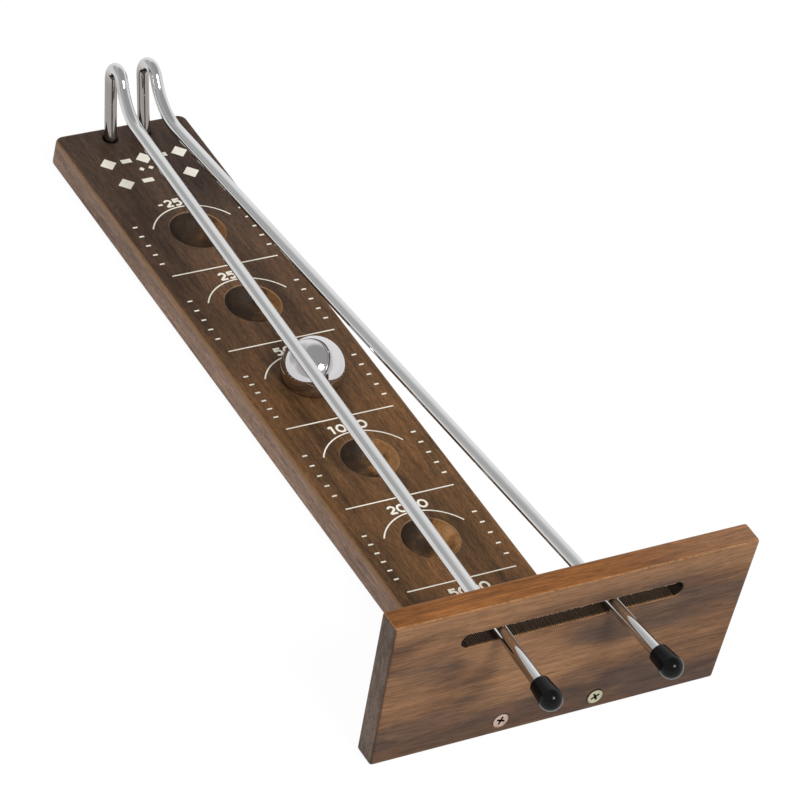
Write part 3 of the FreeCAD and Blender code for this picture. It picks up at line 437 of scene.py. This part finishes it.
def plated_screw(name, tint, ring_tint, centre):
    """Plated screw: brushed head, painted shade in the cross recess and darker rim."""
    t = Tree(name)
    t.shader.inputs["Metallic"].default_value = 1.0
    x, y, z = t.split(t.place)
    lines = t.noise(t.scaled(900, 900, 900), 1.0, 3.0, 0.5)
    haze = t.noise(t.scaled(420, 420, 420), 1.0, 4.0, 0.65)
    color = t.blend(t.span(haze, 0.35, 0.75), tint, tuple(c * 0.74 for c in tint))
    away = distance(t, x, z, centre.x, centre.z)
    color = t.blend(t.span(away, 2.9 * MM, 3.3 * MM, 0.0, 0.8), color, ring_tint)
    # painted shade in the cross recess
    sunk = t.span(y, centre.y + 0.1 * MM, centre.y + 0.4 * MM)
    recess = t.calc("MULTIPLY", sunk, t.span(away, 2.5 * MM, 1.8 * MM))
    color = t.blend(t.calc("MULTIPLY", recess, 0.88), color, (0.050, 0.040, 0.034))
    t.link(color, t.shader.inputs["Base Color"])
    t.link(t.span(haze, 0.3, 0.7, 0.30, 0.48, False), t.shader.inputs["Roughness"])
    t.link(t.bump(lines, 0.3, 0.02 * MM), t.shader.inputs["Normal"])
    return t.material


def vinyl():
    """Soft black vinyl with a fine skin and a little dust."""
    t = Tree("black_vinyl")
    skin = t.noise(t.scaled(1400, 1400, 1400), 1.0, 2.0, 0.5)
    dust = t.noise(t.scaled(260, 260, 260), 1.0, 4.0, 0.7)
    color = t.blend(t.span(dust, 0.5, 0.8, 0.0, 0.6), (0.0035, 0.0035, 0.004), (0.012, 0.012, 0.013))
    t.link(color, t.shader.inputs["Base Color"])
    t.link(t.span(dust, 0.3, 0.8, 0.11, 0.19, False), t.shader.inputs["Roughness"])
    t.shader.inputs["Specular IOR Level"].default_value = 0.13
    t.link(t.bump(skin, 0.10, 0.04 * MM), t.shader.inputs["Normal"])
    return t.material


def ink():
    """Cream printing ink, worn darker in places."""
    t = Tree("cream_ink")
    wear = t.noise(t.scaled(900, 240, 900), 1.0, 4.0, 0.65)
    color = t.blend(t.span(wear, 0.54, 0.76, 0.0, 0.5), INK_TINT, tuple(c * 0.66 for c in INK_TINT))
    t.link(color, t.shader.inputs["Base Color"])
    t.link(t.span(wear, 0.3, 0.7, 0.50, 0.66, False), t.shader.inputs["Roughness"])
    t.link(t.bump(wear, 0.2, 0.03 * MM), t.shader.inputs["Normal"])
    return t.material


# wood shades run from darkest to palest
TOP_SHADES = [(0.062, 0.028, 0.011), (0.112, 0.055, 0.020), (0.164, 0.075, 0.027), (0.228, 0.104, 0.036)]
REAR_SHADES = [(0.036, 0.019, 0.013), (0.055, 0.031, 0.021), (0.073, 0.043, 0.028), (0.100, 0.057, 0.036)]
LIT_SIDE_SHADES = [(0.102, 0.059, 0.040), (0.162, 0.099, 0.069), (0.210, 0.132, 0.092), (0.276, 0.173, 0.122)]
POCKET_LIGHT_AND_SHADE = [(0.10, (0.016, 0.011, 0.008)), (0.40, (0.042, 0.026, 0.015)), (0.60, (0.105, 0.058, 0.027)),
                 (0.78, (0.33, 0.155, 0.055)), (1.0, (0.58, 0.31, 0.130))]
RUBBED = (0.225, 0.120, 0.058)
FACE_SHADES = [(0.061, 0.029, 0.014), (0.101, 0.049, 0.025), (0.139, 0.068, 0.032), (0.196, 0.096, 0.045)]
FACE_GLOW = (0.275, 0.140, 0.066)
MURK = (0.048, 0.032, 0.025)
# patches of the panel's face: place and half size in x and z, whether its border follows the dark or the pale
# figure, strength, shade
SPOTS = [(58 * MM, 34 * MM, 34 * MM, 18 * MM, True, 0.12, FACE_GLOW),
         (-18 * MM, 28 * MM, 36 * MM, 9 * MM, True, 0.38, FACE_GLOW),
         (20 * MM, 41 * MM, 46 * MM, 15 * MM, False, 0.70, MURK),
         (-58 * MM, 45 * MM, 26 * MM, 10 * MM, False, 0.55, MURK),
         (0, 12 * MM, 60 * MM, 11 * MM, False, 0.46, MURK),
         (-68 * MM, 40 * MM, 22 * MM, 22 * MM, True, 0.30, FACE_GLOW)]
LIT_TOP_SHADES = [(0.112, 0.038, 0.011), (0.194, 0.071, 0.018), (0.255, 0.095, 0.025), (0.337, 0.131, 0.037)]
END_SHADES = [(0.38, (0.056, 0.036, 0.026)), (0.50, (0.096, 0.064, 0.046)), (0.62, (0.141, 0.096, 0.070))]
INK_TINT = (0.90, 0.85, 0.73)

BOARD_WOOD = board_wood()
PANEL_WOOD = panel_wood()
SLOT_WOOD = slot_wood()
ROD_CHROME = polished("rod_chrome", (0.615, 0.615, 0.615), 0.04, 0.09, (1300, 6, 1300), 0.03, True)
BALL_STEEL = polished("ball_steel", (0.60, 0.585, 0.59), 0.015, 0.05, (120, 120, 120), 0.004)
COPPER_SCREW = plated_screw("copper_tint_plating", (0.57, 0.43, 0.36), (0.32, 0.22, 0.17),
                            screw_place("panel_screw_left"))
ZINC_SCREW = plated_screw("yellow_zinc_plating", (0.54, 0.51, 0.36), (0.26, 0.24, 0.14),
                          screw_place("panel_screw_right"))
VINYL = vinyl()
INK = ink()

use(nodes["base_board"], BOARD_WOOD)
use(nodes["front_panel"], PANEL_WOOD)
use(nodes["panel_screw_left"], COPPER_SCREW)
use(nodes["panel_screw_right"], ZINC_SCREW)


# -------------------------------------------------------------- bent rods, moulded caps and the ball
# the side view is measured from the pivot, away from the player and up; RUN_SINK is how far the long run
# passes under the slot's middle
ROD_RADIUS = 2.7 * MM
RING_STEPS = 48
END_CHAMFER = 0.5 * MM
PIN_END = 4.5 * MM
PIN_MIDDLE = 8.0 * MM
BEND_START = 12.2 * MM
FOOT_RADIUS = 8.0 * MM
HOOK_RADIUS = 5.9 * MM
KNEE_RADIUS = 25.5 * MM
HOOK_TOP = 46.5 * MM
LEG_LEAN = math.radians(90 - 19.5)
HOOK_FALL = math.radians(180 + 50.0)
REACH = 408.0 * MM
RISE_SPAN = 360.5 * MM
RUN_BASE = {"left": 32.8 * MM, "right": 30.7 * MM}
REST_SWING = {"left": -3.77, "right": 1.56}
RUN_SINK = 0.05 * MM
CAP_START = {"left": 397.4 * MM, "right": 396.5 * MM}
DEGREES_PER_STEP = 2.5
LEG_STEPS, RUN_STEPS = 6, 60
SHARP_ANGLE = math.radians(40)


def toward(angle):
    """Unit vector at an angle in the side view."""
    return Vector((math.cos(angle), math.sin(angle)))


def sweep_arc(centre, start, end, turn):
    """Points on the arc from start to end, turning by the signed angle turn; start itself is left out."""
    steps = max(4, int(abs(math.degrees(turn)) / DEGREES_PER_STEP))
    spoke = start - centre
    points = []
    for i in range(1, steps + 1):
        a = turn * i / steps
        points.append(centre + Vector((spoke.x * math.cos(a) - spoke.y * math.sin(a),
                                       spoke.x * math.sin(a) + spoke.y * math.cos(a))))
    points[-1] = end
    return points


def run_slope(name):
    """Angle at which the rod's long run rises towards the player, to pass the middle of the slot."""
    return math.atan((SLOT_LEVEL - RUN_SINK - RUN_BASE[name]) / RISE_SPAN)


def run_point(name, reach):
    """Point on the long run's line, this far towards the player from the pivot."""
    return Vector((-reach, RUN_BASE[name] + reach * math.tan(run_slope(name))))


def rod_line(name):
    """Centre line of a rod in its side view: pin, foot, leaning leg, hook, fall, knee and long run."""
    run = math.pi - run_slope(name)
    pin_top = Vector((0, BEND_START))
    foot_c = pin_top + Vector((FOOT_RADIUS, 0))
    side = toward(LEG_LEAN + math.pi / 2)
    foot_end = foot_c + side * FOOT_RADIUS
    base = foot_end + side * HOOK_RADIUS
    hook_c = base + toward(LEG_LEAN) * ((HOOK_TOP - HOOK_RADIUS - base.y) / math.sin(LEG_LEAN))
    hook_start = hook_c - side * HOOK_RADIUS
    hook_end = hook_c - toward(HOOK_FALL + math.pi / 2) * HOOK_RADIUS
    # the fall and the run meet at a corner, which the knee rounds
    run_d, fall_d = toward(run), toward(HOOK_FALL)
    gap = Vector((0, RUN_BASE[name])) - hook_end
    fall_length = (gap.x * run_d.y - gap.y * run_d.x) / (fall_d.x * run_d.y - fall_d.y * run_d.x)
    corner = hook_end + fall_d * fall_length
    cut = KNEE_RADIUS * math.tan((HOOK_FALL - run) / 2)
    knee_start = corner - fall_d * cut
    knee_end = corner + run_d * cut
    knee_c = knee_start - toward(HOOK_FALL + math.pi / 2) * KNEE_RADIUS
    end = run_point(name, REACH)
    points = [Vector((0, PIN_END)), Vector((0, PIN_MIDDLE)), pin_top]
    points += sweep_arc(foot_c, pin_top, foot_end, LEG_LEAN - math.pi / 2)
    points += [foot_end.lerp(hook_start, i / LEG_STEPS) for i in range(1, LEG_STEPS + 1)]
    points += sweep_arc(hook_c, hook_start, hook_end, HOOK_FALL - LEG_LEAN)
    points += [hook_end.lerp(knee_start, 0.5), knee_start]
    points += sweep_arc(knee_c, knee_start, knee_end, run - HOOK_FALL)
    points += [knee_end.lerp(end, i / RUN_STEPS) for i in range(1, RUN_STEPS + 1)]
    return points


def placed(name, flat):
    """A point of the rod's side view, in the object's frame."""
    pivot = PIVOTS[name]
    swing = math.radians(REST_SWING[name])
    return Vector((pivot.x - flat.x * math.sin(swing), pivot.y + flat.x * math.cos(swing), flat.y))


def loft(bm, rings, first, last):
    """Closed skin through rings of points, with a centre point on each end."""
    made = [[bm.verts.new(p) for p in ring] for ring in rings]
    count = len(made[0])
    for a, b in zip(made, made[1:]):
        for i in range(count):
            j = (i + 1) % count
            bm.faces.new((a[i], a[j], b[j], b[i]))
    for ring, centre in ((made[0], first), (made[-1], last)):
        middle = bm.verts.new(centre)
        for i in range(count):
            bm.faces.new((ring[i], ring[(i + 1) % count], middle))


def finish_piece(name, bm, material, body, node):
    """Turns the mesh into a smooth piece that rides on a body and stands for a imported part."""
    bmesh.ops.recalc_face_normals(bm, faces=bm.faces)
    for face in bm.faces:
        face.smooth = True
    mesh = mesh_of(name, bm)
    mesh.set_sharp_from_angle(angle=SHARP_ANGLE)
    piece = add_object(name, mesh)
    use(piece, material)
    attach(piece, body)
    if node:
        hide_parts(node)


def circle(centre, level, other, radius):
    """One ring of points round a centre, in the plane of two unit vectors."""
    turns = [2 * math.pi * k / RING_STEPS for k in range(RING_STEPS)]
    return [centre + (level * math.cos(a) + other * math.sin(a)) * radius for a in turns]


def bent_rod(name):
    """Round bar along the rod's centre line, with chamfered ends."""
    across = placed(name, Vector((1, 0))) - placed(name, Vector((0, 0)))
    level = Vector((across.y, -across.x, 0)).normalized()
    centres = [placed(name, p) for p in rod_line(name)]
    last = len(centres) - 1
    rings = []
    for i, centre in enumerate(centres):
        ahead = (centres[min(i + 1, last)] - centres[max(i - 1, 0)]).normalized()
        other = ahead.cross(level)
        if i == 0:
            rings.append(circle(centre, level, other, ROD_RADIUS - END_CHAMFER))
            rings.append(circle(centre + ahead * END_CHAMFER, level, other, ROD_RADIUS))
        elif i == last:
            rings.append(circle(centre - ahead * END_CHAMFER, level, other, ROD_RADIUS))
            rings.append(circle(centre, level, other, ROD_RADIUS - END_CHAMFER))
        else:
            rings.append(circle(centre, level, other, ROD_RADIUS))
    bm = bmesh.new()
    loft(bm, rings, centres[0], centres[-1])
    finish_piece(name + "_bent_rod", bm, ROD_CHROME, name + "_rod_body", name + "_rod")


CAP_RADIUS = 4.8 * MM
CAP_MOUTH = 4.1 * MM
CAP_BORE = 2.72 * MM
CAP_LIP = 0.5 * MM
CAP_LENGTH = 13.8 * MM
# room between the rod's end and the bore's floor
CAP_PLAY = 0.1 * MM


def soft_cap(name):
    """Dipped vinyl cap: rounded lip, slight taper, domed nose, hollow over the rod's end."""
    slope = run_slope(name)
    start = CAP_START[name]
    flat_mouth = run_point(name, start)
    mouth = placed(name, flat_mouth)
    ahead = (placed(name, flat_mouth + toward(math.pi - slope)) - mouth).normalized()
    level = ahead.cross(Vector((0, 0, 1))).normalized()
    other = level.cross(ahead)
    depth = (REACH - start) / math.cos(slope) + CAP_PLAY
    nose = CAP_LENGTH - CAP_RADIUS
    # the section, as (along, radius), from the bore's floor out over the lip to the nose
    profile = [(depth, CAP_BORE * 0.5), (depth, CAP_BORE), (0.6 * MM, CAP_BORE), (0.0, CAP_BORE + 0.15 * MM)]
    profile += [(CAP_LIP - CAP_LIP * math.sin(a), CAP_MOUTH - CAP_LIP + CAP_LIP * math.cos(a))
                for a in [math.radians(90 - 15 * k) for k in range(7)]]
    for share in [k / 8 for k in range(1, 9)]:
        profile.append((CAP_LIP + (nose - CAP_LIP) * share, CAP_MOUTH + (CAP_RADIUS - CAP_MOUTH) * share))
    profile += [(nose + CAP_RADIUS * math.sin(a), CAP_RADIUS * math.cos(a))
                for a in [math.radians(5 * k) for k in range(1, 18)]]
    rings = [circle(mouth + ahead * along, level, other, radius) for along, radius in profile]
    bm = bmesh.new()
    loft(bm, rings, mouth + ahead * depth, mouth + ahead * CAP_LENGTH)
    finish_piece(name + "_soft_cap", bm, VINYL, name + "_rod_body", name + "_cap")


def steel_ball():
    """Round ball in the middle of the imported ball's box."""
    low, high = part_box("ball")
    radius = min(high.z - low.z, high.x - low.x) / 2
    bm = bmesh.new()
    bmesh.ops.create_uvsphere(bm, u_segments=128, v_segments=80, radius=radius)
    bmesh.ops.translate(bm, verts=bm.verts, vec=(low + high) / 2)
    finish_piece("steel_ball", bm, BALL_STEEL, "ball_body", "ball")


for rod_name in ("left", "right"):
    bent_rod(rod_name)
    soft_cap(rod_name)

steel_ball()

# ----------------------------------------------------------------- ridges left by the cutter in the slot
RIDGE_PITCH = 0.80 * MM


def ridge(bm, x, half, tall, front, back, level, wall):
    """One closed ridge along y on the slot's wall, which is 1 for the upper one and -1 for the lower one."""
    root, foot = 0.35 * MM, -0.02 * MM
    top = half * 0.45
    outline = [(-half, root), (-half, foot), (-top, -tall), (top, -tall), (half, foot), (half, root)]
    ends = []
    for y in (front, back):
        ends.append([bm.verts.new((x + across, y, level + wall * deep)) for across, deep in outline])
    bm.faces.new(ends[0])
    bm.faces.new(list(reversed(ends[1])))
    count = len(outline)
    for k in range(count):
        j = (k + 1) % count
        bm.faces.new((ends[0][k], ends[1][k], ends[1][j], ends[0][j]))


def slot_ridges():
    """A row of uneven ridges on each of the slot's long walls, between its round ends."""
    chatter = random.Random(7)
    bm = bmesh.new()
    count = int(2 * (SLOT_HALF_LENGTH - SLOT_HALF_HEIGHT) / RIDGE_PITCH)
    for wall in (-1, 1):
        for i in range(count):
            x = (i - (count - 1) / 2) * RIDGE_PITCH + chatter.uniform(-0.05, 0.05) * MM
            tall = chatter.uniform(0.26, 0.40) * MM
            half = chatter.uniform(0.20, 0.27) * MM
            front = FRONT + chatter.uniform(0.10, 0.45) * MM
            back = panel_high.y - chatter.uniform(0.3, 0.7) * MM
            ridge(bm, x, half, tall, front, back, SLOT_LEVEL + wall * SLOT_HALF_HEIGHT, wall)
    finish_piece("slot_ridges", bm, SLOT_WOOD, BASE, None)


slot_ridges()

# ------------------------------------------------------------------------------------ printed marks
INK_BELOW = 0.03 * MM
INK_ABOVE = 0.045 * MM


def slab(bm, outline):
    """One closed flat prism of ink with this outline, listed anticlockwise in metres."""
    low = [bm.verts.new((x, y, TOP - INK_BELOW)) for x, y in outline]
    high = [bm.verts.new((x, y, TOP + INK_ABOVE)) for x, y in outline]
    bm.faces.new(high)
    bm.faces.new(list(reversed(low)))
    count = len(outline)
    for i in range(count):
        j = (i + 1) % count
        bm.faces.new((low[i], low[j], high[j], high[i]))


def ring(bm, cx, cy, rx, ry, width, steps=40):
    """One closed ring of ink."""
    loops = []
    for grow in (width / 2, -width / 2):
        points = [(cx + (rx + grow) * math.cos(2 * math.pi * i / steps),
                   cy + (ry + grow) * math.sin(2 * math.pi * i / steps)) for i in range(steps)]
        for z in (TOP - INK_BELOW, TOP + INK_ABOVE):
            loops.append([bm.verts.new((x, y, z)) for x, y in points])
    outer_low, outer_high, inner_low, inner_high = loops
    for i in range(steps):
        j = (i + 1) % steps
        bm.faces.new((outer_low[i], outer_low[j], outer_high[j], outer_high[i]))
        bm.faces.new((inner_low[j], inner_low[i], inner_high[i], inner_high[j]))
        bm.faces.new((outer_high[i], outer_high[j], inner_high[j], inner_high[i]))
        bm.faces.new((outer_low[j], outer_low[i], inner_low[i], inner_low[j]))


def lozenge(bm, cx, cy, half_x, half_y):
    """One diamond of ink."""
    slab(bm, [(cx + half_x, cy), (cx, cy + half_y), (cx - half_x, cy), (cx, cy - half_y)])


def dash(bm, cx, cy, length, width):
    """A short straight stroke across the board, centred on (cx, cy)."""
    stroke(bm, [(cx - length / 2, cy), (cx + length / 2, cy)], width)


LONGEST_MITRE = 1.35


def stroke(bm, points, width):
    """A pen stroke along the points, as one closed prism; sharp outer corners are cut off square."""
    points = [Vector(p) for p in points]
    left, right = [], []
    half = width / 2
    for i, point in enumerate(points):
        before = (point - points[i - 1]).normalized() if i > 0 else None
        after = (points[i + 1] - point).normalized() if i < len(points) - 1 else None
        if before is None or after is None:
            way = after or before
            side = Vector((-way.y, way.x))
            left.append(point + side * half)
            right.append(point - side * half)
            continue
        before_side = Vector((-before.y, before.x))
        after_side = Vector((-after.y, after.x))
        middle = (before_side + after_side).normalized()
        reach = half / max(0.2, middle.dot(before_side))
        turn = before.x * after.y - before.y * after.x
        if reach < half * LONGEST_MITRE:
            left.append(point + middle * reach)
            right.append(point - middle * reach)
        elif turn > 0:
            left.append(point + middle * reach)
            right.extend([point - before_side * half, point - after_side * half])
        else:
            left.extend([point + before_side * half, point + after_side * half])
            right.append(point - middle * reach)
    slab(bm, [(p.x, p.y) for p in right + left[::-1]])


def arc_points(cx, cy, rx, ry, start, end, steps):
    """Points of an elliptic arc, angles in degrees."""
    angles = [math.radians(start + (end - start) * i / steps) for i in range(steps + 1)]
    return [(cx + rx * math.cos(a), cy + ry * math.sin(a)) for a in angles]


DIGIT_TALL = 5.0 * MM
DIGIT_PEN = 1.05 * MM
# room that each character takes across the board, and how far a leading minus pushes the number to the left
ADVANCE = {"0": 4.85 * MM, "1": 3.9 * MM, "2": 4.2 * MM, "5": 4.3 * MM, "-": 3.4 * MM}
MINUS_PUSH = 1.4 * MM


def digit(bm, mark, cx, cy):
    """One score digit, centred on (cx, cy)."""
    half_tall = DIGIT_TALL / 2 - DIGIT_PEN / 2
    head, foot = cy + half_tall, cy - half_tall
    if mark == "0":
        ring(bm, cx, cy, 1.80 * MM, half_tall, DIGIT_PEN)
    elif mark == "1":
        stem = cx + 0.35 * MM
        line = [(cx - 1.1 * MM, cy + 1.25 * MM), (stem, head), (stem, foot - DIGIT_PEN / 2)]
        stroke(bm, line, DIGIT_PEN)
    elif mark == "2":
        bow = arc_points(cx, cy + 0.75 * MM, 1.30 * MM, half_tall - 0.75 * MM, 165, -35, 12)
        stroke(bm, bow + [(cx - 1.25 * MM, foot), (cx + 1.75 * MM, foot)], DIGIT_PEN)
    elif mark == "5":
        bow = arc_points(cx - 0.1 * MM, cy - 0.62 * MM, 1.45 * MM, half_tall - 0.62 * MM, 118, -140, 14)
        flag = [(cx + 1.35 * MM, head), (cx - 1.15 * MM, head), (cx - 1.35 * MM, cy + 0.35 * MM)]
        stroke(bm, flag + bow[1:], DIGIT_PEN)
    else:
        dash(bm, cx, cy, 2.0 * MM, DIGIT_PEN)


def number(bm, text, cy):
    """A score number centred across the board."""
    x = -sum(ADVANCE[c] for c in text) / 2 - (MINUS_PUSH if text[0] == "-" else 0.0)
    for c in text:
        digit(bm, c, x + ADVANCE[c] / 2, cy)
        x += ADVANCE[c]


SCORES = ["-250", "250", "500", "1000", "2000", "5000"]
LINE_PEN = 0.62 * MM
ARC_RADIUS = 21.5 * MM
ARC_HALF_WIDTH = 18.6 * MM
DIVIDER_HALF = 25.2 * MM
TICK_LONG, TICK_PEN = 2.2 * MM, 0.8 * MM


def pocket_marks(bm, k, centre):
    """Arc and score of the pocket at this place and, but for the last, its dividing line and side ticks."""
    spread = math.degrees(math.asin(ARC_HALF_WIDTH / ARC_RADIUS))
    arc = arc_points(0, centre - 5.5 * MM, ARC_RADIUS, ARC_RADIUS, 90 + spread, 90 - spread, 40)
    stroke(bm, arc, LINE_PEN)
    number(bm, SCORES[k], centre + 19.2 * MM)
    if k == len(POCKETS) - 1:
        return
    dash(bm, 0, centre - PITCH / 2, 2 * DIVIDER_HALF, LINE_PEN)
    count = 6 if k in (2, 4) else 5
    step = 31.6 * MM / count
    for i in range(count):
        dash(bm, -25.7 * MM, centre - 4.2 * MM + (i - (count - 1) / 2) * step, TICK_LONG, TICK_PEN)
    for i in range(5):
        dash(bm, 25.2 * MM, centre - 4.6 * MM + (i - 2) * 6.5 * MM, TICK_LONG, TICK_PEN)


def ornament(bm):
    """A plain ornament behind the first pocket: lozenges and bars in two rows with dots between."""
    upper = REAR - 24.2 * MM
    lower = REAR - 38.6 * MM
    for i in range(5):
        x = (i - 2) * 8.6 * MM
        if i % 2:
            dash(bm, x, upper, 4.8 * MM, 2.5 * MM)
        else:
            lozenge(bm, x, upper, 3.9 * MM, 3.8 * MM)
    for i in range(3):
        lozenge(bm, (i - 1) * 4.4 * MM, REAR - 31.0 * MM, 1.3 * MM, 1.3 * MM)
    for i in range(4):
        x = (i - 1.5) * 10.4 * MM
        if i in (0, 3):
            lozenge(bm, x, lower, 3.9 * MM, 3.8 * MM)
        else:
            dash(bm, x, lower, 5.2 * MM, 2.5 * MM)


bm = bmesh.new()
for k, centre in enumerate(POCKETS):
    pocket_marks(bm, k, centre)
ornament(bm)
bmesh.ops.recalc_face_normals(bm, faces=bm.faces)
marks = add_object("printed_marks", mesh_of("printed_marks", bm))
use(marks, INK)
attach(marks, BASE)


# ------------------------------------------------------------------------------------ floor and light
def pale_table():
    """Pale floor that mostly glows by itself, so that it stays even and takes only a faint shadow."""
    t = Tree("pale_table")
    t.shader.inputs["Base Color"].default_value = (0.90, 0.90, 0.90, 1)
    t.shader.inputs["Roughness"].default_value = 0.8
    t.shader.inputs["Specular IOR Level"].default_value = 0.1
    glow = t.add("ShaderNodeEmission")
    glow.inputs["Strength"].default_value = 1.04
    both = t.add("ShaderNodeMixShader")
    both.inputs[0].default_value = 0.10
    t.link(glow.outputs[0], both.inputs[1])
    t.link(t.shader.outputs[0], both.inputs[2])
    t.link(both.outputs[0], t.out.inputs[0])
    return t.material


bm = bmesh.new()
bmesh.ops.create_grid(bm, x_segments=1, y_segments=1, size=6.0)
floor = add_object("table_top", mesh_of("table_top", bm))
floor.location = (0, 0, board_low.z - 0.2 * MM)
use(floor, pale_table())


def softbox(name, place, target, width, height, power, shape="RECTANGLE"):
    """A soft lamp at a place, turned towards the target."""
    data = bpy.data.lights.new(name, "AREA")
    data.shape = shape
    data.size = width
    data.size_y = height
    data.energy = power
    light = add_object(name, data)
    light.location = place
    light.rotation_mode = "QUATERNION"
    light.rotation_quaternion = (Vector(target) - Vector(place)).to_track_quat("-Z", "Y")
    return light


softbox("key", (0.05, -1.40, 1.30), (0, 0, 0.02), 0.62, 0.62, 20, "DISK")
side_light = softbox("side", (-1.45, 0.18, 0.30), (0, 0, 0.02), 1.0, 0.7, 3.0)
side_light.visible_glossy = False

# grey patches of the tent, which the metal mirrors: aim, the cosines where each starts and is full, strength
GREY_PATCHES = [((-0.56, 0.66, 0.50), 0.72, 0.96, 0.80),
                ((0.0, -0.10, 0.995), 0.50, 0.82, 1.0),
                ((-0.34, -0.36, 0.87), 0.18, 0.60, 0.80)]
TENT_BRIGHT, TENT_GREY = 1.12, 0.46


def bright_tent():
    """World: a bright tent all round, greyer behind on the left, overhead, and towards the front left."""
    world = bpy.data.worlds.new("studio")
    world.use_nodes = True
    tree = world.node_tree
    tree.nodes.clear()
    add, link = tree.nodes.new, tree.links.new
    direction = add("ShaderNodeTexCoord").outputs["Generated"]
    grey = None
    for aim, low, high, full in GREY_PATCHES:
        turn = add("ShaderNodeVectorMath")
        turn.operation = "DOT_PRODUCT"
        link(direction, turn.inputs[0])
        turn.inputs[1].default_value = aim
        patch = add("ShaderNodeMapRange")
        patch.interpolation_type = "SMOOTHSTEP"
        patch.inputs["From Min"].default_value = low
        patch.inputs["From Max"].default_value = high
        patch.inputs["To Max"].default_value = full
        link(turn.outputs["Value"], patch.inputs["Value"])
        if grey is None:
            grey = patch.outputs[0]
            continue
        greater = add("ShaderNodeMath")
        greater.operation = "MAXIMUM"
        link(grey, greater.inputs[0])
        link(patch.outputs[0], greater.inputs[1])
        grey = greater.outputs[0]
    level = add("ShaderNodeMapRange")
    level.inputs["To Min"].default_value = TENT_BRIGHT
    level.inputs["To Max"].default_value = TENT_GREY
    link(grey, level.inputs["Value"])
    back = add("ShaderNodeBackground")
    back.inputs["Color"].default_value = (0.995, 0.998, 1.0, 1)
    link(level.outputs[0], back.inputs["Strength"])
    link(back.outputs[0], add("ShaderNodeOutputWorld").inputs[0])
    return world


bpy.context.scene.world = bright_tent()

# ------------------------------------------------------------------------------------------- camera
CAMERA_PLACE = (-0.92453, -1.24706, 1.26314)
CAMERA_TURN = (50.4585, -10.5991, -29.4218)

camera_data = bpy.data.cameras.new("camera")
camera_data.sensor_width = 36.0
camera_data.lens = 219.05
camera_data.shift_x = -0.0191
camera_data.clip_start = 0.05
camera_data.clip_end = 30.0
camera = add_object("camera", camera_data)
camera.location = CAMERA_PLACE
camera.rotation_mode = "XYZ"
camera.rotation_euler = [math.radians(angle) for angle in CAMERA_TURN]
bpy.context.scene.camera = camera
bpy.context.scene.view_settings.view_transform = "Standard"
bpy.context.scene.view_settings.look = "None"
